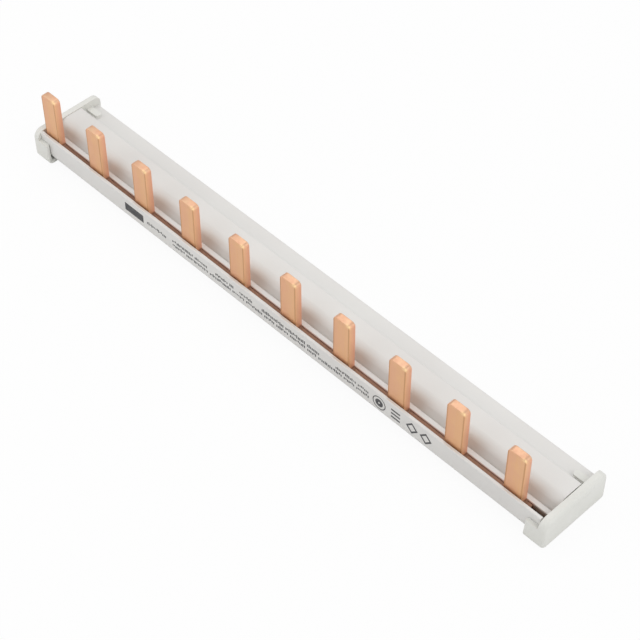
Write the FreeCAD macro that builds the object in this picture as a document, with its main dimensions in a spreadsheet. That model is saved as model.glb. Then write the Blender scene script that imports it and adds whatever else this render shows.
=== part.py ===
import FreeCAD, Part
import os
import Sketcher
from FreeCAD import Vector

# Comb busbar: a copper comb in a plastic profile, closed by a cap at each end.
# Millimetres. X runs along the bar, +Y points to its back, +Z along the pins.
# The origin lies under the middle of the bar, on the plane that the caps stand on.

DRIVING_SIZES = {
    # Copper comb
    "pitch": 17.6,
    "pin_count": 10,
    "pin_width": 5.3,
    "pin_reach": 12.9,
    "pin_corner_radius": 1.1,
    "pin_rim_bevel": 0.3,
    "pin_root_radius": 0.6,
    "copper_thickness": 2.0,
    "web_drop": 2.4,
    "foot_depth": 6.5,
    "bend_radius": 0.6,
    "comb_start": 0.45,
    "comb_lead": 0.4,
    "comb_tail": 1.9,
    "comb_end_gap": 4.55,
    # Plastic profile
    "front_wall": 0.9,
    "slot_front_gap": 0.3,
    "slot_rear_gap": 0.05,
    "foot_gap": 0.1,
    "skin": 0.9,
    "trough_depth": 1.15,
    "ledge_drop": 2.15,
    "ledge_width": 1.5,
    "trough_width": 0.45,
    "ridge_slope_depth": 2.0,
    "ridge_top": 6.4,
    "shelf_width": 5.6,
    "shelf_drop": 2.4,
    "profile_corner_radius": 2.0,
    "crest_radius": 3.0,
    "lip_radius": 0.25,
    # End caps
    "cap_fit": 0.05,
    "left_gap": 0.05,
    "right_gap": 0.3,
    "cap_wall": 1.05,
    "cap_back_wall": 0.65,
    "cap_floor": 1.3,
    "sole_corner_radius": 1.3,
    "plate_thickness": 2.1,
    "plate_rise": 0.2,
    "plate_front_radius": 2.5,
    "plate_back_radius": 1.7,
    "plate_rim_radius": 0.9,
    "flange_length": 3.5,
    "flange_slant": 0.4,
    "mouth_radius": 0.4,
    "lead_in": 0.35,
    "back_lip_height": 2.8,
    "tongue_offset": 1.6,
    "tongue_length": 4.2,
    "tongue_width": 1.75,
    "tongue_thickness": 0.85,
    "tongue_tip_radius": 0.75,
}


class Size:
    """A length that carries its value and the expression that binds it to the sheet."""

    def __init__(self, text, value):
        self.text = text
        self.value = value

    def __add__(self, other):
        return combine(self, "+", other, self.value + number(other))

    def __sub__(self, other):
        return combine(self, "-", other, self.value - number(other))

    def __mul__(self, other):
        return combine(self, "*", other, self.value * number(other))

    def __truediv__(self, other):
        return combine(self, "/", other, self.value / number(other))

    def __neg__(self):
        return Size(f"(-{self.text})", -self.value)


def number(item):
    return item.value if isinstance(item, Size) else item


def words(item):
    return item.text if isinstance(item, Size) else str(item)


def combine(left, sign, right, value):
    return Size(f"({words(left)} {sign} {words(right)})", value)


def smaller(first, second):
    """The lesser of two sizes, for a radius that its wall limits."""
    return Size(f"min({first.text}; {second.text})", min(first.value, second.value))


def make_sheet(doc):
    """Writes one row per driving size and returns the sizes by name."""
    sheet = doc.addObject("Spreadsheet::Sheet", "Sizes")
    sizes = {}
    for row, (name, value) in enumerate(DRIVING_SIZES.items(), start=1):
        sheet.set(f"A{row}", name)
        sheet.set(f"B{row}", str(value))
        sheet.setAlias(f"B{row}", name)
        sizes[name] = Size(f"Sizes.{name}", value)
    doc.recompute()
    return sizes


def origin_plane(body, role):
    for feature in body.Origin.OriginFeatures:
        if feature.Role == role:
            return feature
    raise ValueError(role)


def new_sketch(body, role, name, offset=None):
    """A sketch on one of the body's own origin planes, lifted off it by offset."""
    sketch = body.newObject("Sketcher::SketchObject", name)
    sketch.AttachmentSupport = (origin_plane(body, role), [""])
    sketch.MapMode = "FlatFace"
    if offset is not None:
        sketch.setExpression("AttachmentOffset.Base.z", offset.text)
    return sketch


def draw_outline(sketch, corners):
    """A closed outline whose corners are all held by bound distances from the origin."""
    first = sketch.GeometryCount
    ends = corners[1:] + corners[:1]
    for start, end in zip(corners, ends):
        line = Part.LineSegment(point(start), point(end))
        sketch.addGeometry(line, False)
    for index in range(len(corners)):
        following = (index + 1) % len(corners)
        joint = Sketcher.Constraint("Coincident", first + index, 2, first + following, 1)
        sketch.addConstraint(joint)
    for index, (across, up) in enumerate(corners):
        hold(sketch, "DistanceX", first + index, across)
        hold(sketch, "DistanceY", first + index, up)


def point(corner):
    return Vector(corner[0].value, corner[1].value, 0)


def hold(sketch, kind, line, size):
    constraint = Sketcher.Constraint(kind, -1, 1, line, 1, float(size.value))
    index = sketch.addConstraint(constraint)
    sketch.setExpression(f"Constraints[{index}]", size.text)


def pad(body, sketch, name, length, reversed_way=False):
    feature = body.newObject("PartDesign::Pad", name)
    feature.Profile = sketch
    feature.setExpression("Length", length.text)
    feature.Reversed = reversed_way
    body.Document.recompute()
    return feature


def cut_through(body, sketch, name):
    """Cuts the sketch's outline right through the body, both ways from its plane."""
    feature = body.newObject("PartDesign::Pocket", name)
    feature.Profile = sketch
    feature.Type = "ThroughAll"
    feature.SideType = "Symmetric"
    body.Document.recompute()
    return feature


def dress_edges(body, kind, name, measure, size, picked):
    """Adds a fillet or chamfer on the edges of the body's present shape that the test picks."""
    tip = body.Tip
    chosen = [f"Edge{i}" for i, edge in enumerate(tip.Shape.Edges, start=1) if picked(edge)]
    feature = body.newObject(kind, name)
    feature.Base = (tip, chosen)
    feature.setExpression(measure, size.text)
    body.Document.recompute()
    return feature


def round_edges(body, name, radius, picked):
    return dress_edges(body, "PartDesign::Fillet", name, "Radius", radius, picked)


def bevel_edges(body, name, width, picked):
    return dress_edges(body, "PartDesign::Chamfer", name, "Size", width, picked)


def close(first, second):
    return abs(first - second) < 1e-4


def runs_along(edge, axis):
    """True for a straight edge parallel to the axis."""
    if edge.Curve.TypeId != "Part::GeomLine":
        return False
    return close(abs(edge.tangentAt(edge.FirstParameter).dot(axis)), 1.0)


def lengthwise_at(corners):
    """Picks the edges along X that pass through the given Y and Z."""

    def picked(edge):
        if not runs_along(edge, Vector(1, 0, 0)):
            return False
        middle = edge.CenterOfMass
        return any(close(middle.y, y.value) and close(middle.z, z.value) for y, z in corners)

    return picked


def make_places(s):
    """Works out the levels and stations that the pieces share."""
    p = {}

    # Along the bar: the profile is cut to suit the comb.
    p["pin_span"] = s["pitch"] * (s["pin_count"] - 1)
    p["comb_length"] = s["comb_lead"] + s["pin_width"] + p["pin_span"] + s["comb_tail"]
    p["profile_length"] = s["comb_start"] + p["comb_length"] + s["comb_end_gap"]
    p["cap_inner_face"] = (s["left_gap"] + p["profile_length"] + s["right_gap"]) / 2
    p["profile_left"] = s["left_gap"] - p["cap_inner_face"]
    p["comb_left"] = p["profile_left"] + s["comb_start"]

    # Upwards, from the sole of the caps.
    p["profile_sole"] = s["cap_floor"]
    p["slot_floor"] = p["profile_sole"] + s["skin"]
    p["foot_top"] = p["slot_floor"] + s["copper_thickness"]
    p["channel_top"] = p["foot_top"] + s["foot_gap"]
    p["trough_floor"] = p["channel_top"] + s["skin"]
    p["ledge_top"] = p["trough_floor"] + s["trough_depth"]
    p["wall_top"] = p["ledge_top"] + s["ledge_drop"]
    p["shelf_top"] = p["wall_top"] - s["shelf_drop"]

    # From the front of the caps to their back.
    slot_band = s["front_wall"] + s["slot_front_gap"] + s["copper_thickness"] + s["slot_rear_gap"]
    groove_band = s["ledge_width"] + s["trough_width"] + s["ridge_slope_depth"]
    profile_depth = slot_band + groove_band + s["ridge_top"] + s["shelf_width"]
    front_band = s["cap_wall"] + s["cap_fit"]
    back_band = s["cap_fit"] + s["cap_back_wall"]
    p["cap_back"] = (front_band + profile_depth + back_band) / 2
    p["cap_front"] = -p["cap_back"]
    p["profile_front"] = p["cap_front"] + front_band
    p["slot_front"] = p["profile_front"] + s["front_wall"]
    p["comb_front"] = p["slot_front"] + s["slot_front_gap"]
    p["comb_back"] = p["comb_front"] + s["copper_thickness"]
    p["slot_back"] = p["comb_back"] + s["slot_rear_gap"]
    p["foot_back"] = p["comb_front"] + s["foot_depth"]
    p["ledge_back"] = p["slot_back"] + s["ledge_width"]
    p["trough_back"] = p["ledge_back"] + s["trough_width"]
    p["ridge_front"] = p["trough_back"] + s["ridge_slope_depth"]
    p["ridge_back"] = p["ridge_front"] + s["ridge_top"]
    p["profile_back"] = p["ridge_back"] + s["shelf_width"]
    return p


def make_comb(doc, s, p):
    """The copper comb: pins in one line on a web, which is bent over into a flat foot."""
    body = doc.addObject("PartDesign::Body", "copper_comb")
    first_pin = p["comb_left"] + s["comb_lead"] + s["pin_width"] / 2
    comb_right = p["comb_left"] + p["comb_length"]
    web_top = p["wall_top"] - s["web_drop"]
    pin_top = p["wall_top"] + s["pin_reach"]

    section = new_sketch(body, "YZ_Plane", "comb_section", p["comb_left"])
    draw_outline(section, [
        (p["comb_front"], p["slot_floor"]),
        (p["foot_back"], p["slot_floor"]),
        (p["foot_back"], p["foot_top"]),
        (p["comb_back"], p["foot_top"]),
        (p["comb_back"], web_top),
        (p["comb_front"], web_top),
    ])
    pad(body, section, "comb_web", p["comb_length"])
    inner_bend = lengthwise_at([(p["comb_back"], p["foot_top"])])
    outer_bend = lengthwise_at([(p["comb_front"], p["slot_floor"])])
    round_edges(body, "inner_bend", s["bend_radius"], inner_bend)
    round_edges(body, "outer_bend", s["bend_radius"] + s["copper_thickness"], outer_bend)

    outline = new_sketch(body, "XZ_Plane", "pin_outline", -p["comb_back"])
    pin_left = first_pin - s["pin_width"] / 2
    pin_right = first_pin + s["pin_width"] / 2
    draw_outline(outline, [
        (pin_left, web_top),
        (pin_right, web_top),
        (pin_right, pin_top),
        (pin_left, pin_top),
    ])
    pin = pad(body, outline, "first_pin", s["copper_thickness"])
    row = body.newObject("PartDesign::LinearPattern", "pin_row")
    row.Originals = [pin]
    row.Direction = (outline, ["H_Axis"])
    row.Mode = "Spacing"
    row.setExpression("Offset", s["pitch"].text)
    row.setExpression("Occurrences", s["pin_count"].text)
    body.Tip = row
    doc.recompute()

    def at_root(edge):
        middle = edge.CenterOfMass
        on_web = first_pin.value < middle.x and not close(middle.x, comb_right.value)
        return on_web and runs_along(edge, Vector(0, 1, 0)) and close(middle.z, web_top.value)

    def at_tip_corner(edge):
        return runs_along(edge, Vector(0, 1, 0)) and close(edge.CenterOfMass.z, pin_top.value)

    def at_rim(edge):
        return runs_along(edge, Vector(1, 0, 0)) and close(edge.CenterOfMass.z, pin_top.value)

    # The rim bevel runs on down the pins, round their roots and along the web.
    round_edges(body, "pin_roots", s["pin_root_radius"], at_root)
    round_edges(body, "pin_corners", s["pin_corner_radius"], at_tip_corner)
    bevel_edges(body, "pin_rims", s["pin_rim_bevel"], at_rim)
    return body


def make_profile(doc, s, p):
    """The extruded profile: printed wall, slot, ledge, trough, ridge and rear shelf."""
    body = doc.addObject("PartDesign::Body", "insulating_profile")
    channel_back = p["foot_back"] + s["foot_gap"]

    chamber_front = channel_back + s["skin"]
    chamber_back = p["profile_back"] - s["skin"]
    chamber_top = p["shelf_top"] - s["skin"]
    loft_sill = p["trough_back"] + s["skin"]
    loft_front = p["ridge_front"] + s["skin"] / 2
    loft_back = p["ridge_back"] - s["skin"]
    loft_top = p["wall_top"] - s["skin"]

    section = new_sketch(body, "YZ_Plane", "profile_section", p["profile_left"])
    draw_outline(section, [
        (p["profile_front"], p["profile_sole"]),
        (p["profile_front"], p["wall_top"]),
        (p["slot_front"], p["wall_top"]),
        (p["slot_front"], p["slot_floor"]),
        (channel_back, p["slot_floor"]),
        (channel_back, p["channel_top"]),
        (p["slot_back"], p["channel_top"]),
        (p["slot_back"], p["ledge_top"]),
        (p["ledge_back"], p["ledge_top"]),
        (p["ledge_back"], p["trough_floor"]),
        (p["trough_back"], p["trough_floor"]),
        (p["ridge_front"], p["wall_top"]),
        (p["ridge_back"], p["wall_top"]),
        (p["ridge_back"], p["shelf_top"]),
        (p["profile_back"], p["shelf_top"]),
        (p["profile_back"], p["profile_sole"]),
    ])
    draw_outline(section, [
        (chamber_front, p["slot_floor"]),
        (chamber_back, p["slot_floor"]),
        (chamber_back, chamber_top),
        (loft_back, chamber_top),
        (loft_back, loft_top),
        (loft_front, loft_top),
        (loft_sill, p["trough_floor"]),
        (chamber_front, p["trough_floor"]),
    ])
    pad(body, section, "profile_extrusion", p["profile_length"])

    # Each rounded corner is rounded outside and in, so its wall keeps one thickness.
    round_edges(body, "sole_corners", s["profile_corner_radius"], lengthwise_at([
        (p["profile_front"], p["profile_sole"]),
        (p["profile_back"], p["profile_sole"]),
    ]))
    round_edges(body, "channel_corner", s["profile_corner_radius"] - s["front_wall"], lengthwise_at([
        (p["slot_front"], p["slot_floor"]),
    ]))
    round_edges(body, "chamber_corner", s["profile_corner_radius"] - s["skin"], lengthwise_at([
        (chamber_back, p["slot_floor"]),
    ]))
    round_edges(body, "channel_bend", s["bend_radius"], lengthwise_at([
        (p["slot_back"], p["channel_top"]),
    ]))
    round_edges(body, "ridge_crest", s["crest_radius"], lengthwise_at([
        (p["ridge_front"], p["wall_top"]),
    ]))
    round_edges(body, "loft_crest", s["crest_radius"] - s["skin"], lengthwise_at([
        (loft_front, loft_top),
    ]))
    round_edges(body, "wall_lips", s["lip_radius"], lengthwise_at([
        (p["profile_front"], p["wall_top"]),
        (p["slot_front"], p["wall_top"]),
        (p["slot_back"], p["ledge_top"]),
        (p["ledge_back"], p["ledge_top"]),
        (p["trough_back"], p["trough_floor"]),
        (p["ridge_back"], p["wall_top"]),
        (p["profile_back"], p["shelf_top"]),
    ]))
    return body


def make_left_cap(doc, s, p):
    """One end cap: a plate with a front flange, a floor, a back lip and a tongue."""
    body = doc.addObject("PartDesign::Body", "end_cap_left")
    inner = -p["cap_inner_face"]
    sole = Size("0", 0.0)
    plate_top = p["wall_top"] + s["plate_rise"]
    flange_top = plate_top - s["plate_front_radius"]
    flange_back = p["cap_front"] + s["cap_wall"]
    lip_front = p["cap_back"] - s["cap_back_wall"]
    flange_end = inner + s["flange_length"]
    tray_end = flange_end + s["flange_slant"]

    plate_outline = new_sketch(body, "YZ_Plane", "plate_outline", inner)
    draw_outline(plate_outline, [
        (p["cap_front"], sole),
        (p["cap_back"], sole),
        (p["cap_back"], plate_top),
        (p["cap_front"], plate_top),
    ])
    pad(body, plate_outline, "plate", s["plate_thickness"], reversed_way=True)
    round_edges(body, "plate_front_corner", s["plate_front_radius"], lengthwise_at([
        (p["cap_front"], plate_top),
    ]))
    round_edges(body, "plate_back_corner", s["plate_back_radius"], lengthwise_at([
        (p["cap_back"], plate_top),
    ]))

    tray_section = new_sketch(body, "YZ_Plane", "tray_section", inner)
    draw_outline(tray_section, [
        (p["cap_front"], sole),
        (p["cap_back"], sole),
        (p["cap_back"], s["back_lip_height"]),
        (lip_front, s["back_lip_height"]),
        (lip_front, s["cap_floor"]),
        (flange_back, s["cap_floor"]),
        (flange_back, flange_top),
        (p["cap_front"], flange_top),
    ])
    pad(body, tray_section, "tray", s["flange_length"] + s["flange_slant"])

    # The mouth of the tray leans, so the flange is a little longer at its foot.
    mouth_wedge = new_sketch(body, "XZ_Plane", "mouth_wedge")
    draw_outline(mouth_wedge, [
        (tray_end, sole),
        (tray_end, flange_top),
        (flange_end, flange_top),
    ])
    cut_through(body, mouth_wedge, "mouth")

    tongue_front = p["ridge_back"] + s["tongue_offset"]
    tongue_section = new_sketch(body, "YZ_Plane", "tongue_section", inner)
    draw_outline(tongue_section, [
        (tongue_front, p["shelf_top"]),
        (tongue_front + s["tongue_width"], p["shelf_top"]),
        (tongue_front + s["tongue_width"], p["shelf_top"] + s["tongue_thickness"]),
        (tongue_front, p["shelf_top"] + s["tongue_thickness"]),
    ])
    pad(body, tongue_section, "tongue", s["tongue_length"])

    outer_x = inner - s["plate_thickness"]
    tongue_end = inner + s["tongue_length"]

    def at_tongue_tip(edge):
        return runs_along(edge, Vector(0, 0, 1)) and close(edge.CenterOfMass.x, tongue_end.value)

    def at_mouth_foot(edge):
        return close(edge.BoundBox.XMin, tray_end.value) and close(edge.CenterOfMass.z, sole.value)

    def at_flange_inside(edge):
        across = edge.BoundBox
        in_plane = close(across.YMin, flange_back.value) and close(across.YMax, flange_back.value)
        return in_plane and across.XMin > flange_end.value - 1e-4

    def on_outer_face(edge):
        return close(edge.BoundBox.XMax, outer_x.value)

    # No radius may use up the wall that it is cut in.
    tongue_radius = smaller(s["tongue_tip_radius"], s["tongue_width"] * 0.45)
    sole_radius = smaller(s["sole_corner_radius"], s["cap_floor"] * 1.1)
    mouth_radius = smaller(s["mouth_radius"], s["cap_back_wall"] * 0.7)
    rim_radius = smaller(s["plate_rim_radius"], sole_radius * 0.9)
    round_edges(body, "tongue_tip", tongue_radius, at_tongue_tip)
    round_edges(body, "sole_corners", sole_radius, lengthwise_at([
        (p["cap_front"], sole),
        (p["cap_back"], sole),
    ]))
    round_edges(body, "mouth_edge", mouth_radius, at_mouth_foot)
    bevel_edges(body, "flange_lead_in", s["lead_in"], at_flange_inside)
    round_edges(body, "plate_rim", rim_radius, on_outer_face)
    return body


def make_right_cap(doc, left_cap):
    """The other end cap is the mirror image of the first."""
    mirror = doc.addObject("Part::Mirroring", "end_cap_right")
    mirror.Source = left_cap
    mirror.Base = Vector(0, 0, 0)
    mirror.Normal = Vector(1, 0, 0)
    doc.recompute()
    return mirror


def check(doc, pieces):
    """Stops before anything is written if a feature or a solid has failed."""
    for item in doc.Objects:
        if "Invalid" in item.State or "Error" in item.State:
            raise RuntimeError(f"{item.Name}: {item.State}")
    for piece in pieces:
        shape = piece.Shape
        if shape.isNull() or not shape.isValid() or len(shape.Solids) != 1:
            raise RuntimeError(f"{piece.Label} is not one valid solid")


def main():
    doc = FreeCAD.newDocument("comb_busbar")
    s = make_sheet(doc)
    p = make_places(s)
    left_cap = make_left_cap(doc, s, p)
    pieces = [
        make_comb(doc, s, p),
        make_profile(doc, s, p),
        left_cap,
        make_right_cap(doc, left_cap),
    ]
    doc.recompute()
    check(doc, pieces)
    os.makedirs("parts", exist_ok=True)
    for piece in pieces:
        piece.Shape.exportStep(f"parts/{piece.Label}.step")
        box = piece.Shape.BoundBox
        print(piece.Label, round(piece.Shape.Volume, 2), box)


main()
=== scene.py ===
import math
import random

import bmesh
import bpy
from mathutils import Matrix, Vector


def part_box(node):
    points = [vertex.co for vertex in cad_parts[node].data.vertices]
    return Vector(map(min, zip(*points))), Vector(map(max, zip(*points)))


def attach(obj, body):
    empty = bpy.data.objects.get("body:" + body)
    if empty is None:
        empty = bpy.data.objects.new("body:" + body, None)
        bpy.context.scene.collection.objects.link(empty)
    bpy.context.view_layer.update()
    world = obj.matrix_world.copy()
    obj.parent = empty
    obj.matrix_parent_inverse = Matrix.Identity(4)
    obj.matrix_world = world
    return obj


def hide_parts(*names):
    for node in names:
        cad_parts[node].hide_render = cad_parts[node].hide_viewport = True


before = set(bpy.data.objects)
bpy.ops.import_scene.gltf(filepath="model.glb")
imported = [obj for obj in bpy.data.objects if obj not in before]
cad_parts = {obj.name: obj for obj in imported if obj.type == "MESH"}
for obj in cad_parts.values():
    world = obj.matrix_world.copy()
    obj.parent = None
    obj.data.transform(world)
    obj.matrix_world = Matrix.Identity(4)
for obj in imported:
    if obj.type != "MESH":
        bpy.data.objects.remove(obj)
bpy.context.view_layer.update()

mm = 0.001
combLow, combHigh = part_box("copper_comb")
profileLow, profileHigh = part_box("insulating_profile")
wallTop = profileHigh.z  # the front wall is the profile's highest part
print("frame loaded:", ", ".join(sorted(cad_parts)))


# The row of pins, which gives the comb its form and leaves its marks on the plastic

pins = {
    "count": 10,
    "pitch": 17.6 * mm,
    "width": 5.3 * mm,
    "lead": 0.4 * mm,  # web left of the first pin
}
pinRow = {  # the same row as the pinOffset effect takes it
    "First Pin": combLow.x + pins["lead"] + pins["width"] / 2,
    "Half Pitch": pins["pitch"] / 2,
}


# Small helpers for colours and nodes

def fromScreen(red, green, blue):  # a 0-255 screen colour as Blender's linear colour
    def channel(value):
        share = value / 255
        return share / 12.92 if share <= 0.04045 else ((share + 0.055) / 1.055) ** 2.4
    return (channel(red), channel(green), channel(blue), 1.0)


def addNode(tree, kind, place, **inputs):  # inputs are set by socket name
    node = tree.nodes.new(kind)
    node.location = place
    for name, value in inputs.items():
        node.inputs[name].default_value = value
    return node


def mixColours(tree, factor, first, second, place):  # colours go in at sockets 6 and 7, out at 2
    node = addNode(tree, "ShaderNodeMix", place)
    node.data_type = "RGBA"
    tree.links.new(factor, node.inputs[0])
    for socket, colour in ((node.inputs[6], first), (node.inputs[7], second)):
        if isinstance(colour, tuple):
            socket.default_value = colour
        else:
            tree.links.new(colour, socket)
    return node.outputs[2]


def spread(tree, value, low, high, place):  # turns a 0-1 mask into a range
    node = addNode(tree, "ShaderNodeMapRange", place, **{"To Min": low, "To Max": high})
    tree.links.new(value, node.inputs["Value"])
    return node.outputs["Result"]


def fadeBetween(tree, value, start, end, place):  # 0 up to the start, 1 from the end on, soft between
    node = addNode(tree, "ShaderNodeMapRange", place, **{"From Min": start, "From Max": end})
    node.interpolation_type = "SMOOTHSTEP"
    tree.links.new(value, node.inputs["Value"])
    return node.outputs["Result"]


def compute(tree, operation, values, place):  # one step of arithmetic on numbers or sockets
    node = addNode(tree, "ShaderNodeMath", place)
    node.operation = operation
    for socket, value in zip(node.inputs, values):
        if isinstance(value, (int, float)):
            socket.default_value = value
        else:
            tree.links.new(value, socket)
    return node.outputs[0]


def splitAxes(tree, vector, place):
    node = addNode(tree, "ShaderNodeSeparateXYZ", place)
    tree.links.new(vector, node.inputs[0])
    return node.outputs


def startGroup(name, inputs, outputs):  # inputs are names with the values that they start from
    group = bpy.data.node_groups.new(name, "ShaderNodeTree")
    group.interface.new_socket("Vector", in_out="INPUT", socket_type="NodeSocketVector")
    for label, value in inputs.items():
        kind = "NodeSocketVector" if isinstance(value, tuple) else "NodeSocketFloat"
        group.interface.new_socket(label, in_out="INPUT", socket_type=kind).default_value = value
    for label in outputs:
        group.interface.new_socket(label, in_out="OUTPUT", socket_type="NodeSocketFloat")
    enter = addNode(group, "NodeGroupInput", (-700, 0))
    leave = addNode(group, "NodeGroupOutput", (600, 0))
    return group, enter.outputs, leave.inputs


def placeGroup(tree, group, values, point, place):  # values are set by socket name
    node = addNode(tree, "ShaderNodeGroup", place)
    node.node_tree = group
    tree.links.new(point, node.inputs["Vector"])
    for name, value in values.items():
        node.inputs[name].default_value = value
    return node.outputs


# Small helpers for meshes and objects

def linkObject(name, data):
    thing = bpy.data.objects.new(name, data)
    bpy.context.scene.collection.objects.link(thing)
    return thing


def meshObject(name, bm):
    mesh = bpy.data.meshes.new(name)
    bm.normal_update()
    bm.to_mesh(mesh)
    bm.free()
    return linkObject(name, mesh)


def aimObject(thing, place, aim):  # lamps and cameras look along their own -Z
    thing.location = place
    thing.rotation_mode = "QUATERNION"
    thing.rotation_quaternion = (aim - place).to_track_quat("-Z", "Y")


def joinRings(bm, here, there):  # a closed band of quads between two rings of points
    for index in range(len(here)):
        following = (index + 1) % len(here)
        bm.faces.new((here[index], here[following], there[following], there[index]))


# Shared surface effects

def buildMouldedGrain():  # fine skin of a moulded or drawn surface, with broad faint clouds
    scales = {"Grain Scale": 3000.0, "Cloud Scale": 60.0}
    cloudRange = {"From Min": 0.3, "From Max": 0.7}  # the middle of the noise is stretched to 0-1
    group, enter, leave = startGroup("mouldedGrain", scales, ("Height", "Clouds"))
    grain = addNode(group, "ShaderNodeTexNoise", (-300, 150), Detail=3.0, Roughness=0.55)
    clouds = addNode(group, "ShaderNodeTexNoise", (-300, -150), Detail=2.0, Roughness=0.5)
    for noise, scale in ((grain, "Grain Scale"), (clouds, "Cloud Scale")):
        group.links.new(enter["Vector"], noise.inputs["Vector"])
        group.links.new(enter[scale], noise.inputs["Scale"])
    stretched = addNode(group, "ShaderNodeMapRange", (0, -150), **cloudRange)
    group.links.new(clouds.outputs["Fac"], stretched.inputs["Value"])
    group.links.new(grain.outputs["Fac"], leave["Height"])
    group.links.new(stretched.outputs["Result"], leave["Clouds"])
    return group


def buildDrawnLines():  # lines left by a die or by rolls, long in one direction
    inputs = {"Lines Per Metre": (1.0, 1.0, 1.0), "Contrast": 1.0}
    noiseMiddle = 0.5  # the noise swings about this value
    group, enter, leave = startGroup("drawnLines", inputs, ("Lines",))
    stretch = addNode(group, "ShaderNodeVectorMath", (-450, 0))
    stretch.operation = "MULTIPLY"
    group.links.new(enter["Vector"], stretch.inputs[0])
    group.links.new(enter["Lines Per Metre"], stretch.inputs[1])
    noise = addNode(group, "ShaderNodeTexNoise", (-200, 0), Scale=1.0, Detail=4.0, Roughness=0.6)
    group.links.new(stretch.outputs[0], noise.inputs["Vector"])
    centred = compute(group, "SUBTRACT", (noise.outputs["Fac"], noiseMiddle), (0, 0))
    sharpened = compute(group, "MULTIPLY", (centred, enter["Contrast"]), (200, 0))
    lifted = compute(group, "ADD", (sharpened, noiseMiddle), (400, 0))
    lifted.node.use_clamp = True
    group.links.new(lifted, leave["Lines"])
    return group


def buildSlotDepth():  # 0 on the open surface, 1 deep down, inside a band of the bar's depth
    limits = ("Front", "Back", "Lowest", "Bright Above", "Dark Below")
    group, enter, leave = startGroup("slotDepth", dict.fromkeys(limits, 0.0), ("Depth",))
    axes = splitAxes(group, enter["Vector"], (-450, 0))
    fade = addNode(group, "ShaderNodeMapRange", (-200, -200), **{"To Min": 1.0, "To Max": 0.0})
    fade.interpolation_type = "SMOOTHSTEP"
    group.links.new(axes["Z"], fade.inputs["Value"])
    group.links.new(enter["Dark Below"], fade.inputs["From Min"])
    group.links.new(enter["Bright Above"], fade.inputs["From Max"])
    depth = fade.outputs["Result"]
    sides = (("GREATER_THAN", "Y", "Front"), ("LESS_THAN", "Y", "Back"), ("GREATER_THAN", "Z", "Lowest"))
    for step, (operation, axis, limit) in enumerate(sides):
        within = compute(group, operation, (axes[axis], enter[limit]), (-200, 200 * step))
        depth = compute(group, "MULTIPLY", (depth, within), (50 + 150 * step, 0))
    group.links.new(depth, leave["Depth"])
    return group


def buildPinOffset():  # how far a point lies along the bar from the nearest pin's centre line
    group, enter, leave = startGroup("pinOffset", dict.fromkeys(pinRow, 0.0), ("Offset",))
    axes = splitAxes(group, enter["Vector"], (-500, 0))
    fromFirst = compute(group, "SUBTRACT", (axes["X"], enter["First Pin"]), (-300, 0))
    low = compute(group, "MULTIPLY", (enter["Half Pitch"], -1.0), (-300, -200))
    wrapped = compute(group, "WRAP", (fromFirst, enter["Half Pitch"], low), (0, 0))
    group.links.new(wrapped, leave["Offset"])
    return group


mouldedGrain = buildMouldedGrain()
drawnLines = buildDrawnLines()
slotDepth = buildSlotDepth()
pinOffset = buildPinOffset()
print("shared surface effects built")


# What all the finishes begin and end with

def startMaterial(name):
    material = bpy.data.materials.new(name)
    material.use_nodes = True
    tree = material.node_tree
    coords = addNode(tree, "ShaderNodeTexCoord", (-1500, 0))
    return material, tree, coords.outputs


def finishMaterial(material, colour, roughness, normal=None):
    tree = material.node_tree
    shader = tree.nodes["Principled BSDF"]
    tree.links.new(colour, shader.inputs["Base Color"])
    tree.links.new(roughness, shader.inputs["Roughness"])
    if normal is not None:
        tree.links.new(normal, shader.inputs["Normal"])
    return shader


def addBump(tree, height, relief, place, under=None):
    bump = addNode(tree, "ShaderNodeBump", place, Strength=relief["strength"], Distance=relief["depth"])
    tree.links.new(height, bump.inputs["Height"])
    if under is not None:
        tree.links.new(under, bump.inputs["Normal"])
    return bump.outputs["Normal"]


# Light grey plastic of the extruded profile

profileFinish = {
    "pale": fromScreen(225, 224, 221),
    "deep": fromScreen(221, 219, 216),
    "grain": {"Cloud Scale": 45.0},
    "slotShade": fromScreen(196, 128, 94),  # painted shade inside the slot, tinted brown as a painted reflection of the copper
    "slot": {  # the band across the bar and the heights where that shade shows
        "Front": profileLow.y + 0.88 * mm,
        "Back": combLow.y + 2.25 * mm,
        "Lowest": combLow.z - 0.3 * mm,
        "Bright Above": wallTop - 1.3 * mm,
        "Dark Below": wallTop - 3.1 * mm,
    },
    "emptyShade": fromScreen(164, 144, 130),  # painted shade in the slot's last stretch, past the comb's right end
    "emptyFrom": (combHigh.x - 0.425 * mm, combHigh.x + 0.575 * mm),
    "paintedPinShade": fromScreen(190, 148, 120),  # painted shadow of the pins on the ledge and slope, tinted by a painted reflection of the copper
    "paintedPinShadeShare": (0.04, 0.26),  # between two pins and behind one
    "paintedPinShadeReach": (7.5 * mm, 1.5 * mm),  # from a pin's centre line, where it begins and where it is full
    "slope": {  # the same for the painted pin shadow
        "Front": combLow.y + 2.08 * mm,
        "Back": combLow.y + 7.4 * mm,
        "Lowest": combLow.z - 0.3 * mm,
        "Bright Above": wallTop + 0.1 * mm,
        "Dark Below": wallTop - 2.5 * mm,
    },
    "roughness": (0.28, 0.36),
    "lines": {"Lines Per Metre": (4.0, 2600.0, 2600.0), "Contrast": 1.6},  # die lines run along the bar
    "lineRelief": {"strength": 0.12, "depth": 0.02 * mm},
}


def paintedPinShadeMask(tree, look, point):  # painted pin shadow, strongest on the slope right behind each pin
    row = placeGroup(tree, pinOffset, pinRow, point, (-1300, 700))
    apart = compute(tree, "ABSOLUTE", (row["Offset"],), (-1100, 700))
    nearness = fadeBetween(tree, apart, *look["paintedPinShadeReach"], (-900, 700))
    strength = spread(tree, nearness, *look["paintedPinShadeShare"], (-700, 700))
    slope = placeGroup(tree, slotDepth, look["slope"], point, (-900, 950))
    return compute(tree, "MULTIPLY", (strength, slope["Depth"]), (-450, 700))


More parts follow.
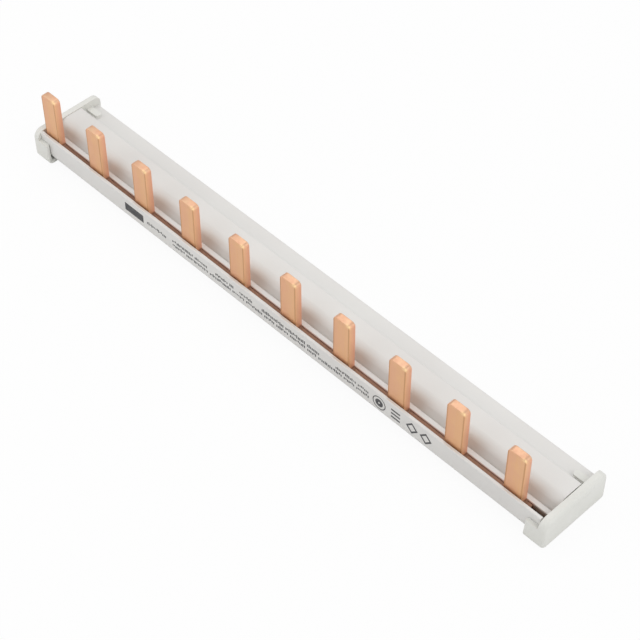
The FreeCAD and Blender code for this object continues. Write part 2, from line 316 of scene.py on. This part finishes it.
def makeProfilePlastic(look):
    material, tree, coords = startMaterial("profilePlastic")
    point = coords["Object"]
    grain = placeGroup(tree, mouldedGrain, look["grain"], point, (-1000, 200))
    lines = placeGroup(tree, drawnLines, look["lines"], point, (-1000, -200))
    depth = placeGroup(tree, slotDepth, look["slot"], point, (-900, 450))
    axes = splitAxes(tree, point, (-1100, 1200))
    pastComb = fadeBetween(tree, axes["X"], *look["emptyFrom"], (-900, 1200))
    inSlot = mixColours(tree, pastComb, look["slotShade"], look["emptyShade"], (-700, 1200))
    clouded = mixColours(tree, grain["Clouds"], look["pale"], look["deep"], (-700, 250))
    shaded = mixColours(tree, depth["Depth"], clouded, inSlot, (-450, 250))
    colour = mixColours(tree, paintedPinShadeMask(tree, look, point), shaded, look["paintedPinShade"], (-250, 250))
    roughness = spread(tree, lines["Lines"], *look["roughness"], (-500, 0))
    normal = addBump(tree, lines["Lines"], look["lineRelief"], (-300, -250))
    finishMaterial(material, colour, roughness, normal)
    return material


# Moulded plastic of the end caps, a touch greener than the profile

capFinish = {
    "pale": fromScreen(227, 227, 222),
    "deep": fromScreen(223, 223, 217),
    "roughness": (0.34, 0.44),
    "grain": {"Grain Scale": 5200.0, "Cloud Scale": 120.0},
    "grainRelief": {"strength": 0.10, "depth": 0.03 * mm},
}


def makeCapPlastic(look):
    material, tree, coords = startMaterial("capPlastic")
    grain = placeGroup(tree, mouldedGrain, look["grain"], coords["Object"], (-1000, 0))
    colour = mixColours(tree, grain["Clouds"], look["pale"], look["deep"], (-500, 250))
    roughness = spread(tree, grain["Clouds"], *look["roughness"], (-500, 0))
    normal = addBump(tree, grain["Height"], look["grainRelief"], (-300, -250))
    finishMaterial(material, colour, roughness, normal)
    return material


# Bare copper of the comb

copperFinish = {
    "rosy": fromScreen(232, 178, 140),  # rolled faces, towards the pin's left edge
    "golden": fromScreen(235, 185, 139),  # rolled faces, towards the right edge
    "rosyToGolden": (-2.6 * mm, 2.4 * mm),  # across a pin, where that change begins and ends
    "cloudStir": 0.35,  # how far the clouds push it to and fro
    "lineStir": 0.3,  # and how far the rolling lines do
    "edgeLine": fromScreen(188, 132, 84),
    "edgePlace": pins["width"] / 2 - 0.25 * mm,  # of the fine line, from the pin's centre line
    "edgeFade": (0.30 * mm, 0.10 * mm),  # from the middle of that line, where it begins and is full
    "edgeShare": 0.60,  # how much of the line's colour shows there
    "shearedPaintedLight": (fromScreen(250, 198, 154), fromScreen(243, 180, 148)),  # narrow faces, front to back: the sheared edge's own colour, set lighter as painted light and darker towards the back
    "shearedDepth": (combLow.y, combLow.y + 1.8 * mm),
    "sideFacing": (0.45, 0.8),  # how far a surface turns sideways before it shows the narrow face
    # tips: the sheared edge's own colour, paler as a painted top light
    "tip": (fromScreen(233, 191, 155), fromScreen(224, 170, 138)),
    "tipFacing": (0.35, 0.75),  # how far it turns upwards before it shows the tip
    "paintedGlint": fromScreen(255, 218, 166),  # painted highlight on the tip's front right corner
    "paintedGlintSpot": {  # where that spot fades in: along the bar, back to front, and upwards
        "across": (0.9 * mm, 2.4 * mm),
        "depth": (combLow.y + 0.8 * mm, combLow.y + 0.2 * mm),
        "height": (combHigh.z - 0.9 * mm, combHigh.z - 0.3 * mm),
    },
    "paintedWebShade": fromScreen(128, 92, 72),  # painted shade: the web darker brown down in the slot
    "slot": {  # front and back lie past the bar, so that only the height counts
        "Front": -20 * mm,
        "Back": 20 * mm,
        "Lowest": 0.0,
        "Bright Above": wallTop - 1.1 * mm,
        "Dark Below": wallTop - 2.3 * mm,
    },
    "metallic": 0.6,  # a satin skin, which scatters much of the light
    "roughness": (0.32, 0.50),
    "grain": {"Grain Scale": 1100.0, "Cloud Scale": 420.0},
    "lumpRelief": {"strength": 0.35, "depth": 0.10 * mm},
    "lines": {"Lines Per Metre": (2300.0, 1500.0, 45.0), "Contrast": 2.2},  # rolling lines run up the pins
    "lineRelief": {"strength": 0.30, "depth": 0.03 * mm},
}


def rolledColour(tree, look, offset, clouds, lines):  # rosy to golden, with a fine line by each edge
    across = fadeBetween(tree, offset, *look["rosyToGolden"], (-1300, 700))
    for step, (mask, share) in enumerate(((clouds, look["cloudStir"]), (lines, look["lineStir"]))):
        stir = spread(tree, mask, -share, share, (-1100, 500 - 150 * step))
        across = compute(tree, "ADD", (across, stir), (-900 + 200 * step, 650))
    rolled = mixColours(tree, across, look["rosy"], look["golden"], (-500, 650))
    side = compute(tree, "ABSOLUTE", (offset,), (-1300, 900))
    apart = compute(tree, "SUBTRACT", (side, look["edgePlace"]), (-1200, 900))
    fromLine = compute(tree, "ABSOLUTE", (apart,), (-1100, 900))
    onLine = fadeBetween(tree, fromLine, *look["edgeFade"], (-900, 900))
    edge = spread(tree, onLine, 0.0, look["edgeShare"], (-700, 900))
    return mixColours(tree, edge, rolled, look["edgeLine"], (-300, 650))


def addShearedFaces(tree, look, rolled, clouds, depthAxis, facing):  # the narrow sides and the tips, in colours of their own, lighter as painted light
    toBack = fadeBetween(tree, depthAxis, *look["shearedDepth"], (-1100, 1200))
    sides = mixColours(tree, toBack, *look["shearedPaintedLight"], (-500, 1150))
    sideways = compute(tree, "ABSOLUTE", (facing["X"],), (-1100, 1400))
    onSide = fadeBetween(tree, sideways, *look["sideFacing"], (-900, 1400))
    withSides = mixColours(tree, onSide, rolled, sides, (-250, 900))
    tips = mixColours(tree, clouds, *look["tip"], (-500, 1400))
    onTip = fadeBetween(tree, facing["Z"], *look["tipFacing"], (-900, 1600))
    return mixColours(tree, onTip, withSides, tips, (-50, 900))


def paintedGlintSpotMask(tree, spot, offset, axes):  # where the painted highlight sits: the front right corner of each tip
    toRight = fadeBetween(tree, offset, *spot["across"], (-900, 2050))
    toFront = fadeBetween(tree, axes["Y"], *spot["depth"], (-900, 1900))
    toTop = fadeBetween(tree, axes["Z"], *spot["height"], (-900, 1750))
    onRim = compute(tree, "MULTIPLY", (toFront, toTop), (-700, 1750))
    return compute(tree, "MULTIPLY", (onRim, toRight), (-500, 1750))


def makeCopper(look):
    material, tree, coords = startMaterial("copper")
    point = coords["Object"]
    axes = splitAxes(tree, point, (-1300, 1200))
    facing = splitAxes(tree, coords["Normal"], (-1300, 1400))
    offset = placeGroup(tree, pinOffset, pinRow, point, (-1500, 700))["Offset"]
    depth = placeGroup(tree, slotDepth, look["slot"], point, (-300, 450))["Depth"]
    grain = placeGroup(tree, mouldedGrain, look["grain"], point, (-1300, 300))
    lines = placeGroup(tree, drawnLines, look["lines"], point, (-1300, -150))["Lines"]
    rolled = rolledColour(tree, look, offset, grain["Clouds"], lines)
    stamped = addShearedFaces(tree, look, rolled, grain["Clouds"], axes["Y"], facing)
    paintedGlintSpot = paintedGlintSpotMask(tree, look["paintedGlintSpot"], offset, axes)
    clean = mixColours(tree, paintedGlintSpot, stamped, look["paintedGlint"], (100, 900))
    colour = mixColours(tree, depth, clean, look["paintedWebShade"], (150, 450))
    roughness = spread(tree, lines, *look["roughness"], (-500, -50))
    lumps = addBump(tree, grain["Height"], look["lumpRelief"], (-500, -250))
    normal = addBump(tree, lines, look["lineRelief"], (-300, -250), under=lumps)
    shader = finishMaterial(material, colour, roughness, normal)
    shader.inputs["Metallic"].default_value = look["metallic"]
    return material


# Dark grey ink of the marks on the front wall

inkFinish = {
    "pale": fromScreen(84, 84, 86),
    "deep": fromScreen(58, 58, 60),
    "roughness": (0.45, 0.6),
    "grain": {"Cloud Scale": 1400.0},
}


def makeInk(look):
    material, tree, coords = startMaterial("ink")
    grain = placeGroup(tree, mouldedGrain, look["grain"], coords["Object"], (-1000, 0))
    colour = mixColours(tree, grain["Clouds"], look["pale"], look["deep"], (-500, 250))
    roughness = spread(tree, grain["Clouds"], *look["roughness"], (-500, 0))
    finishMaterial(material, colour, roughness)
    return material


profilePlastic = makeProfilePlastic(profileFinish)
capPlastic = makeCapPlastic(capFinish)
copper = makeCopper(copperFinish)
ink = makeInk(inkFinish)
for nodeName, finish in (
    ("insulating_profile", profilePlastic),
    ("end_cap_left", capPlastic),
    ("end_cap_right", capPlastic),
    ("copper_comb", copper),
):
    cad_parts[nodeName].material_slots[0].material = finish
print("materials made")


# The copper comb, with the rolled edges that a stamped and tumbled comb has

comb = {
    "thickness": 2.0 * mm,
    "webDrop": 2.4 * mm,  # web's edge below the top of the front wall
    "tipRadius": 1.1 * mm,
    "rootRadius": 0.6 * mm,
    "bendRadius": 0.6 * mm,
    "rimRadius": 0.19 * mm,  # under half of the lead, so that no two rims meet
    "rimFrom": 50,  # degrees that an edge has to turn before it gets a rim
    "arcSteps": 6,
    "bendSteps": 8,
    "rimSteps": 3,
}


def arcPoints(centreX, centreZ, radius, start, end, steps):  # from start to end in degrees, X towards Z
    points = []
    for step in range(steps + 1):
        angle = math.radians(start + (end - start) * step / steps)
        points.append((centreX + radius * math.cos(angle), centreZ + radius * math.sin(angle)))
    return points


def combOutline(size, bottom, webTop):  # clockwise in X and Z, from the bottom left
    left, right, tipTop = combLow.x, combHigh.x, combHigh.z
    root, tip, steps = size["rootRadius"], size["tipRadius"], size["arcSteps"]
    points = [(left, bottom), (left, webTop)]
    for index in range(pins["count"]):
        pinLeft = left + pins["lead"] + pins["pitch"] * index
        pinRight = pinLeft + pins["width"]
        if index == 0:  # the web left of this pin is too short for a round root
            points.append((pinLeft, webTop))
        else:
            points += arcPoints(pinLeft - root, webTop + root, root, -90, 0, steps)
        points += arcPoints(pinLeft + tip, tipTop - tip, tip, 180, 90, steps)
        points += arcPoints(pinRight - tip, tipTop - tip, tip, 90, 0, steps)
        points += arcPoints(pinRight + root, webTop + root, root, 180, 270, steps)
    return points + [(right, webTop), (right, bottom)]


def sectionAt(bm, outer, inner):  # the outer and inner point of the bent strip, at its two ends
    left, right = combLow.x, combHigh.x
    corners = ((left, *outer), (right, *outer), (right, *inner), (left, *inner))
    return [bm.verts.new(corner) for corner in corners]


def addFoot(bm, size, lastSection, bendY, bendZ):  # the web goes on round the bend and along the foot
    thickness = size["thickness"]
    sections = [lastSection]
    for step in range(1, size["bendSteps"] + 1):
        angle = math.pi / 2 * step / size["bendSteps"]
        ends = []
        for radius in (size["bendRadius"] + thickness, size["bendRadius"]):
            ends.append((bendY - radius * math.cos(angle), bendZ - radius * math.sin(angle)))
        sections.append(sectionAt(bm, *ends))
    sections.append(sectionAt(bm, (combHigh.y, combLow.z), (combHigh.y, combLow.z + thickness)))
    for upper, lower in zip(sections, sections[1:]):
        joinRings(bm, upper, lower)
    bm.faces.new(reversed(sections[-1]))


def addRim(piece, size):
    for polygon in piece.data.polygons:
        polygon.use_smooth = True
    rim = piece.modifiers.new("rolled rim", "BEVEL")
    rim.width = size["rimRadius"]
    rim.segments = size["rimSteps"]
    rim.limit_method = "ANGLE"
    rim.angle_limit = math.radians(size["rimFrom"])
    rim.harden_normals = True


def buildComb(size):
    front = combLow.y
    back = front + size["thickness"]
    bendY = back + size["bendRadius"]
    bendZ = combLow.z + size["thickness"] + size["bendRadius"]
    outline = combOutline(size, bendZ, wallTop - size["webDrop"])
    bm = bmesh.new()
    frontRing = [bm.verts.new((x, front, z)) for x, z in outline]
    backRing = [bm.verts.new((x, back, z)) for x, z in outline]
    bm.faces.new(frontRing)
    bm.faces.new(reversed(backRing))
    for index in range(len(outline) - 1):
        bm.faces.new((frontRing[index + 1], frontRing[index], backRing[index], backRing[index + 1]))
    addFoot(bm, size, [frontRing[0], frontRing[-1], backRing[-1], backRing[0]], bendY, bendZ)
    bmesh.ops.recalc_face_normals(bm, faces=bm.faces)
    piece = meshObject("combBar", bm)
    addRim(piece, size)
    piece.data.materials.append(copper)
    return piece


combBar = buildComb(comb)
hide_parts("copper_comb")
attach(combBar, "root")
print("comb built:", len(combBar.data.polygons), "faces before its rim")


# Plain printed marks on the front wall: a block, rows of short ticks, rings, bars and open squares

marks = {
    "inkThickness": 0.02 * mm,
    "sunk": 0.005 * mm,  # into the wall, so that the ink doesn't float
    "rows": [  # along the bar from its middle, and upwards from the caps' soles
        {"start": -34.2 * mm, "end": 33.6 * mm, "middle": 4.75 * mm, "height": 0.95 * mm, "seed": 3},
        {"start": -34.2 * mm, "end": -21.8 * mm, "middle": 6.15 * mm, "height": 0.90 * mm, "seed": 5},
        {"start": -18.4 * mm, "end": -12.2 * mm, "middle": 6.15 * mm, "height": 0.90 * mm, "seed": 8},
        {"start": -9.8 * mm, "end": -5.4 * mm, "middle": 6.15 * mm, "height": 0.90 * mm, "seed": 9},
        {"start": -2.0 * mm, "end": 17.4 * mm, "middle": 6.2 * mm, "height": 1.10 * mm, "seed": 10},
        {"start": 23.0 * mm, "end": 33.6 * mm, "middle": 6.15 * mm, "height": 0.90 * mm, "seed": 12},
        {"start": -43.8 * mm, "end": -36.0 * mm, "middle": 5.5 * mm, "height": 1.00 * mm, "seed": 17},
    ],
    "tickWidth": 0.32 * mm,
    "tickGap": (0.14 * mm, 0.26 * mm),
    "tickDown": (1.0, 0.9, 0.35),  # shares of half the row's height that a tick reaches down or up
    "tickUp": (1.0, 0.55, 0.4),
    "wordTicks": (6, 16),  # fewest and most ticks between two gaps
    "wordGap": 0.55 * mm,
    "block": {"left": -52.2 * mm, "right": -45.2 * mm, "low": 4.3 * mm, "high": 6.8 * mm},
    "shapeMiddle": 5.45 * mm,  # height of the rings, bars and squares
    "ringPlace": 37.1 * mm,
    "rings": [
        {"outerRadius": 2.05 * mm, "innerRadius": 1.80 * mm, "sides": 40},
        {"outerRadius": 1.20 * mm, "innerRadius": 0.30 * mm, "sides": 28},
    ],
    "bars": {"left": 40.9 * mm, "right": 43.7 * mm},
    "barSpacing": 1.2 * mm,
    "barHeight": 0.48 * mm,
    "squarePlaces": (47.4 * mm, 51.7 * mm),
    "square": {"outerRadius": 1.85 * mm, "innerRadius": 1.2 * mm, "sides": 4},  # stands on its corner
}


def inkFaces(size):  # depth of the ink's outer face and of the one inside the wall
    return profileLow.y - size["inkThickness"], profileLow.y + size["sunk"]


def addBar(bm, size, left, right, low, high):
    rings = []
    for y in inkFaces(size):
        corners = ((left, y, low), (right, y, low), (right, y, high), (left, y, high))
        rings.append([bm.verts.new(corner) for corner in corners])
    near, far = rings
    bm.faces.new(near)
    bm.faces.new(reversed(far))
    joinRings(bm, far, near)


def addRing(bm, size, x, outerRadius, innerRadius, sides):
    outer, inner = inkFaces(size)
    z = size["shapeMiddle"]
    loops = []
    for radius, y in (
        (outerRadius, outer),
        (innerRadius, outer),
        (innerRadius, inner),
        (outerRadius, inner),
    ):
        loop = []
        for side in range(sides):
            angle = 2 * math.pi * side / sides
            loop.append(bm.verts.new((x + radius * math.cos(angle), y, z + radius * math.sin(angle))))
        loops.append(loop)
    for here, there in zip(loops, loops[1:] + loops[:1]):
        joinRings(bm, here, there)


def addTickRow(bm, size, row):
    dice = random.Random(row["seed"])
    x = row["start"]
    half = row["height"] / 2
    while x < row["end"]:
        for tick in range(dice.randint(*size["wordTicks"])):
            if x > row["end"]:
                break
            low = row["middle"] - half * dice.choice(size["tickDown"])
            high = row["middle"] + half * dice.choice(size["tickUp"])
            addBar(bm, size, x, x + size["tickWidth"], low, high)
            x += size["tickWidth"] + dice.uniform(*size["tickGap"])
        x += size["wordGap"]


def buildMarks(size):
    bm = bmesh.new()
    for row in size["rows"]:
        addTickRow(bm, size, row)
    addBar(bm, size, **size["block"])
    for ring in size["rings"]:
        addRing(bm, size, size["ringPlace"], **ring)
    for step in (-1, 0, 1):
        middle = size["shapeMiddle"] + size["barSpacing"] * step
        low = middle - size["barHeight"] / 2
        addBar(bm, size, **size["bars"], low=low, high=low + size["barHeight"])
    for place in size["squarePlaces"]:
        addRing(bm, size, place, **size["square"])
    bmesh.ops.recalc_face_normals(bm, faces=bm.faces)
    piece = meshObject("wallMarks", bm)
    piece.data.materials.append(ink)
    return piece


wallMarks = buildMarks(marks)
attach(wallMarks, "root")
print("marks printed:", len(wallMarks.data.polygons), "faces")


# Floor, backdrop and light

studio = {
    "floorHalf": 3.0,  # metres from the middle to each side
    "floorColour": (0.86, 0.86, 0.86, 1.0),
    "whiteShare": 0.93,  # how much of what the camera sees of the floor is plain white
    "whiteStrength": 1.0,
    "skyStrength": 0.59,
    "skyColour": (1.0, 1.0, 1.0, 1.0),
    "softboxes": {
        "key": {"place": Vector((-0.36, -0.34, 0.38)), "size": 0.8, "power": 1.40},
        "fill": {"place": Vector((0.95, 0.10, 0.75)), "size": 0.9, "power": 4.5},
        "back": {"place": Vector((-0.38, 0.55, 0.90)), "size": 0.6, "power": 1.8},
    },
}


def makePaleFloor(look):
    material = bpy.data.materials.new("paleFloor")
    material.use_nodes = True
    tree = material.node_tree
    tree.nodes.clear()
    matte = addNode(tree, "ShaderNodeBsdfDiffuse", (-300, 100), Color=look["floorColour"])
    white = addNode(tree, "ShaderNodeEmission", (-300, -100), Strength=look["whiteStrength"])
    path = addNode(tree, "ShaderNodeLightPath", (-700, 0))
    seen = compute(tree, "MULTIPLY", (path.outputs["Is Camera Ray"], look["whiteShare"]), (-500, 0))
    mix = addNode(tree, "ShaderNodeMixShader", (0, 0))
    output = addNode(tree, "ShaderNodeOutputMaterial", (250, 0))
    for source, target in (
        (seen, mix.inputs[0]),
        (matte.outputs[0], mix.inputs[1]),
        (white.outputs[0], mix.inputs[2]),
        (mix.outputs[0], output.inputs["Surface"]),
    ):
        tree.links.new(source, target)
    return material


def buildFloor(look):
    bm = bmesh.new()
    half = look["floorHalf"]
    corners = ((-half, -half, 0), (half, -half, 0), (half, half, 0), (-half, half, 0))
    bm.faces.new([bm.verts.new(corner) for corner in corners])
    floor = meshObject("floor", bm)
    floor.data.materials.append(makePaleFloor(look))


def buildSky(look):
    world = bpy.data.worlds.new("studio")
    bpy.context.scene.world = world
    world.use_nodes = True
    tree = world.node_tree
    background = tree.nodes["Background"]
    background.inputs["Color"].default_value = look["skyColour"]
    seen = addNode(tree, "ShaderNodeLightPath", (-600, 0)).outputs["Is Camera Ray"]
    strength = spread(tree, seen, look["skyStrength"], look["whiteStrength"], (-300, 0))
    tree.links.new(strength, background.inputs["Strength"])


def buildSoftbox(name, look):
    lamp = bpy.data.lights.new(name, "AREA")
    lamp.shape = "SQUARE"
    lamp.size = look["size"]
    lamp.energy = look["power"]
    aimObject(linkObject(name, lamp), look["place"], Vector())  # at the floor under the bar's middle


buildFloor(studio)
buildSky(studio)
for lampName, lampLook in studio["softboxes"].items():
    buildSoftbox(lampName, lampLook)
print("studio lit")


# Camera, as the photograph was taken

view = {
    "place": Vector((213.515, -200.82, 325.95)) * mm,
    "aim": Vector((11.525, -3.23, 8.5)) * mm,
    "lens": 101.7,
    "sensor": 36.0,
    "nearest": 0.01,  # metres between which it sees anything
    "farthest": 50.0,
}


def buildCamera(look):
    camera = bpy.data.cameras.new("camera")
    camera.lens = look["lens"]
    camera.sensor_width = look["sensor"]
    camera.clip_start = look["nearest"]
    camera.clip_end = look["farthest"]
    holder = linkObject("camera", camera)
    aimObject(holder, look["place"], look["aim"])
    bpy.context.scene.camera = holder


buildCamera(view)
bpy.context.scene.view_settings.view_transform = "Standard"

print("scene ready")
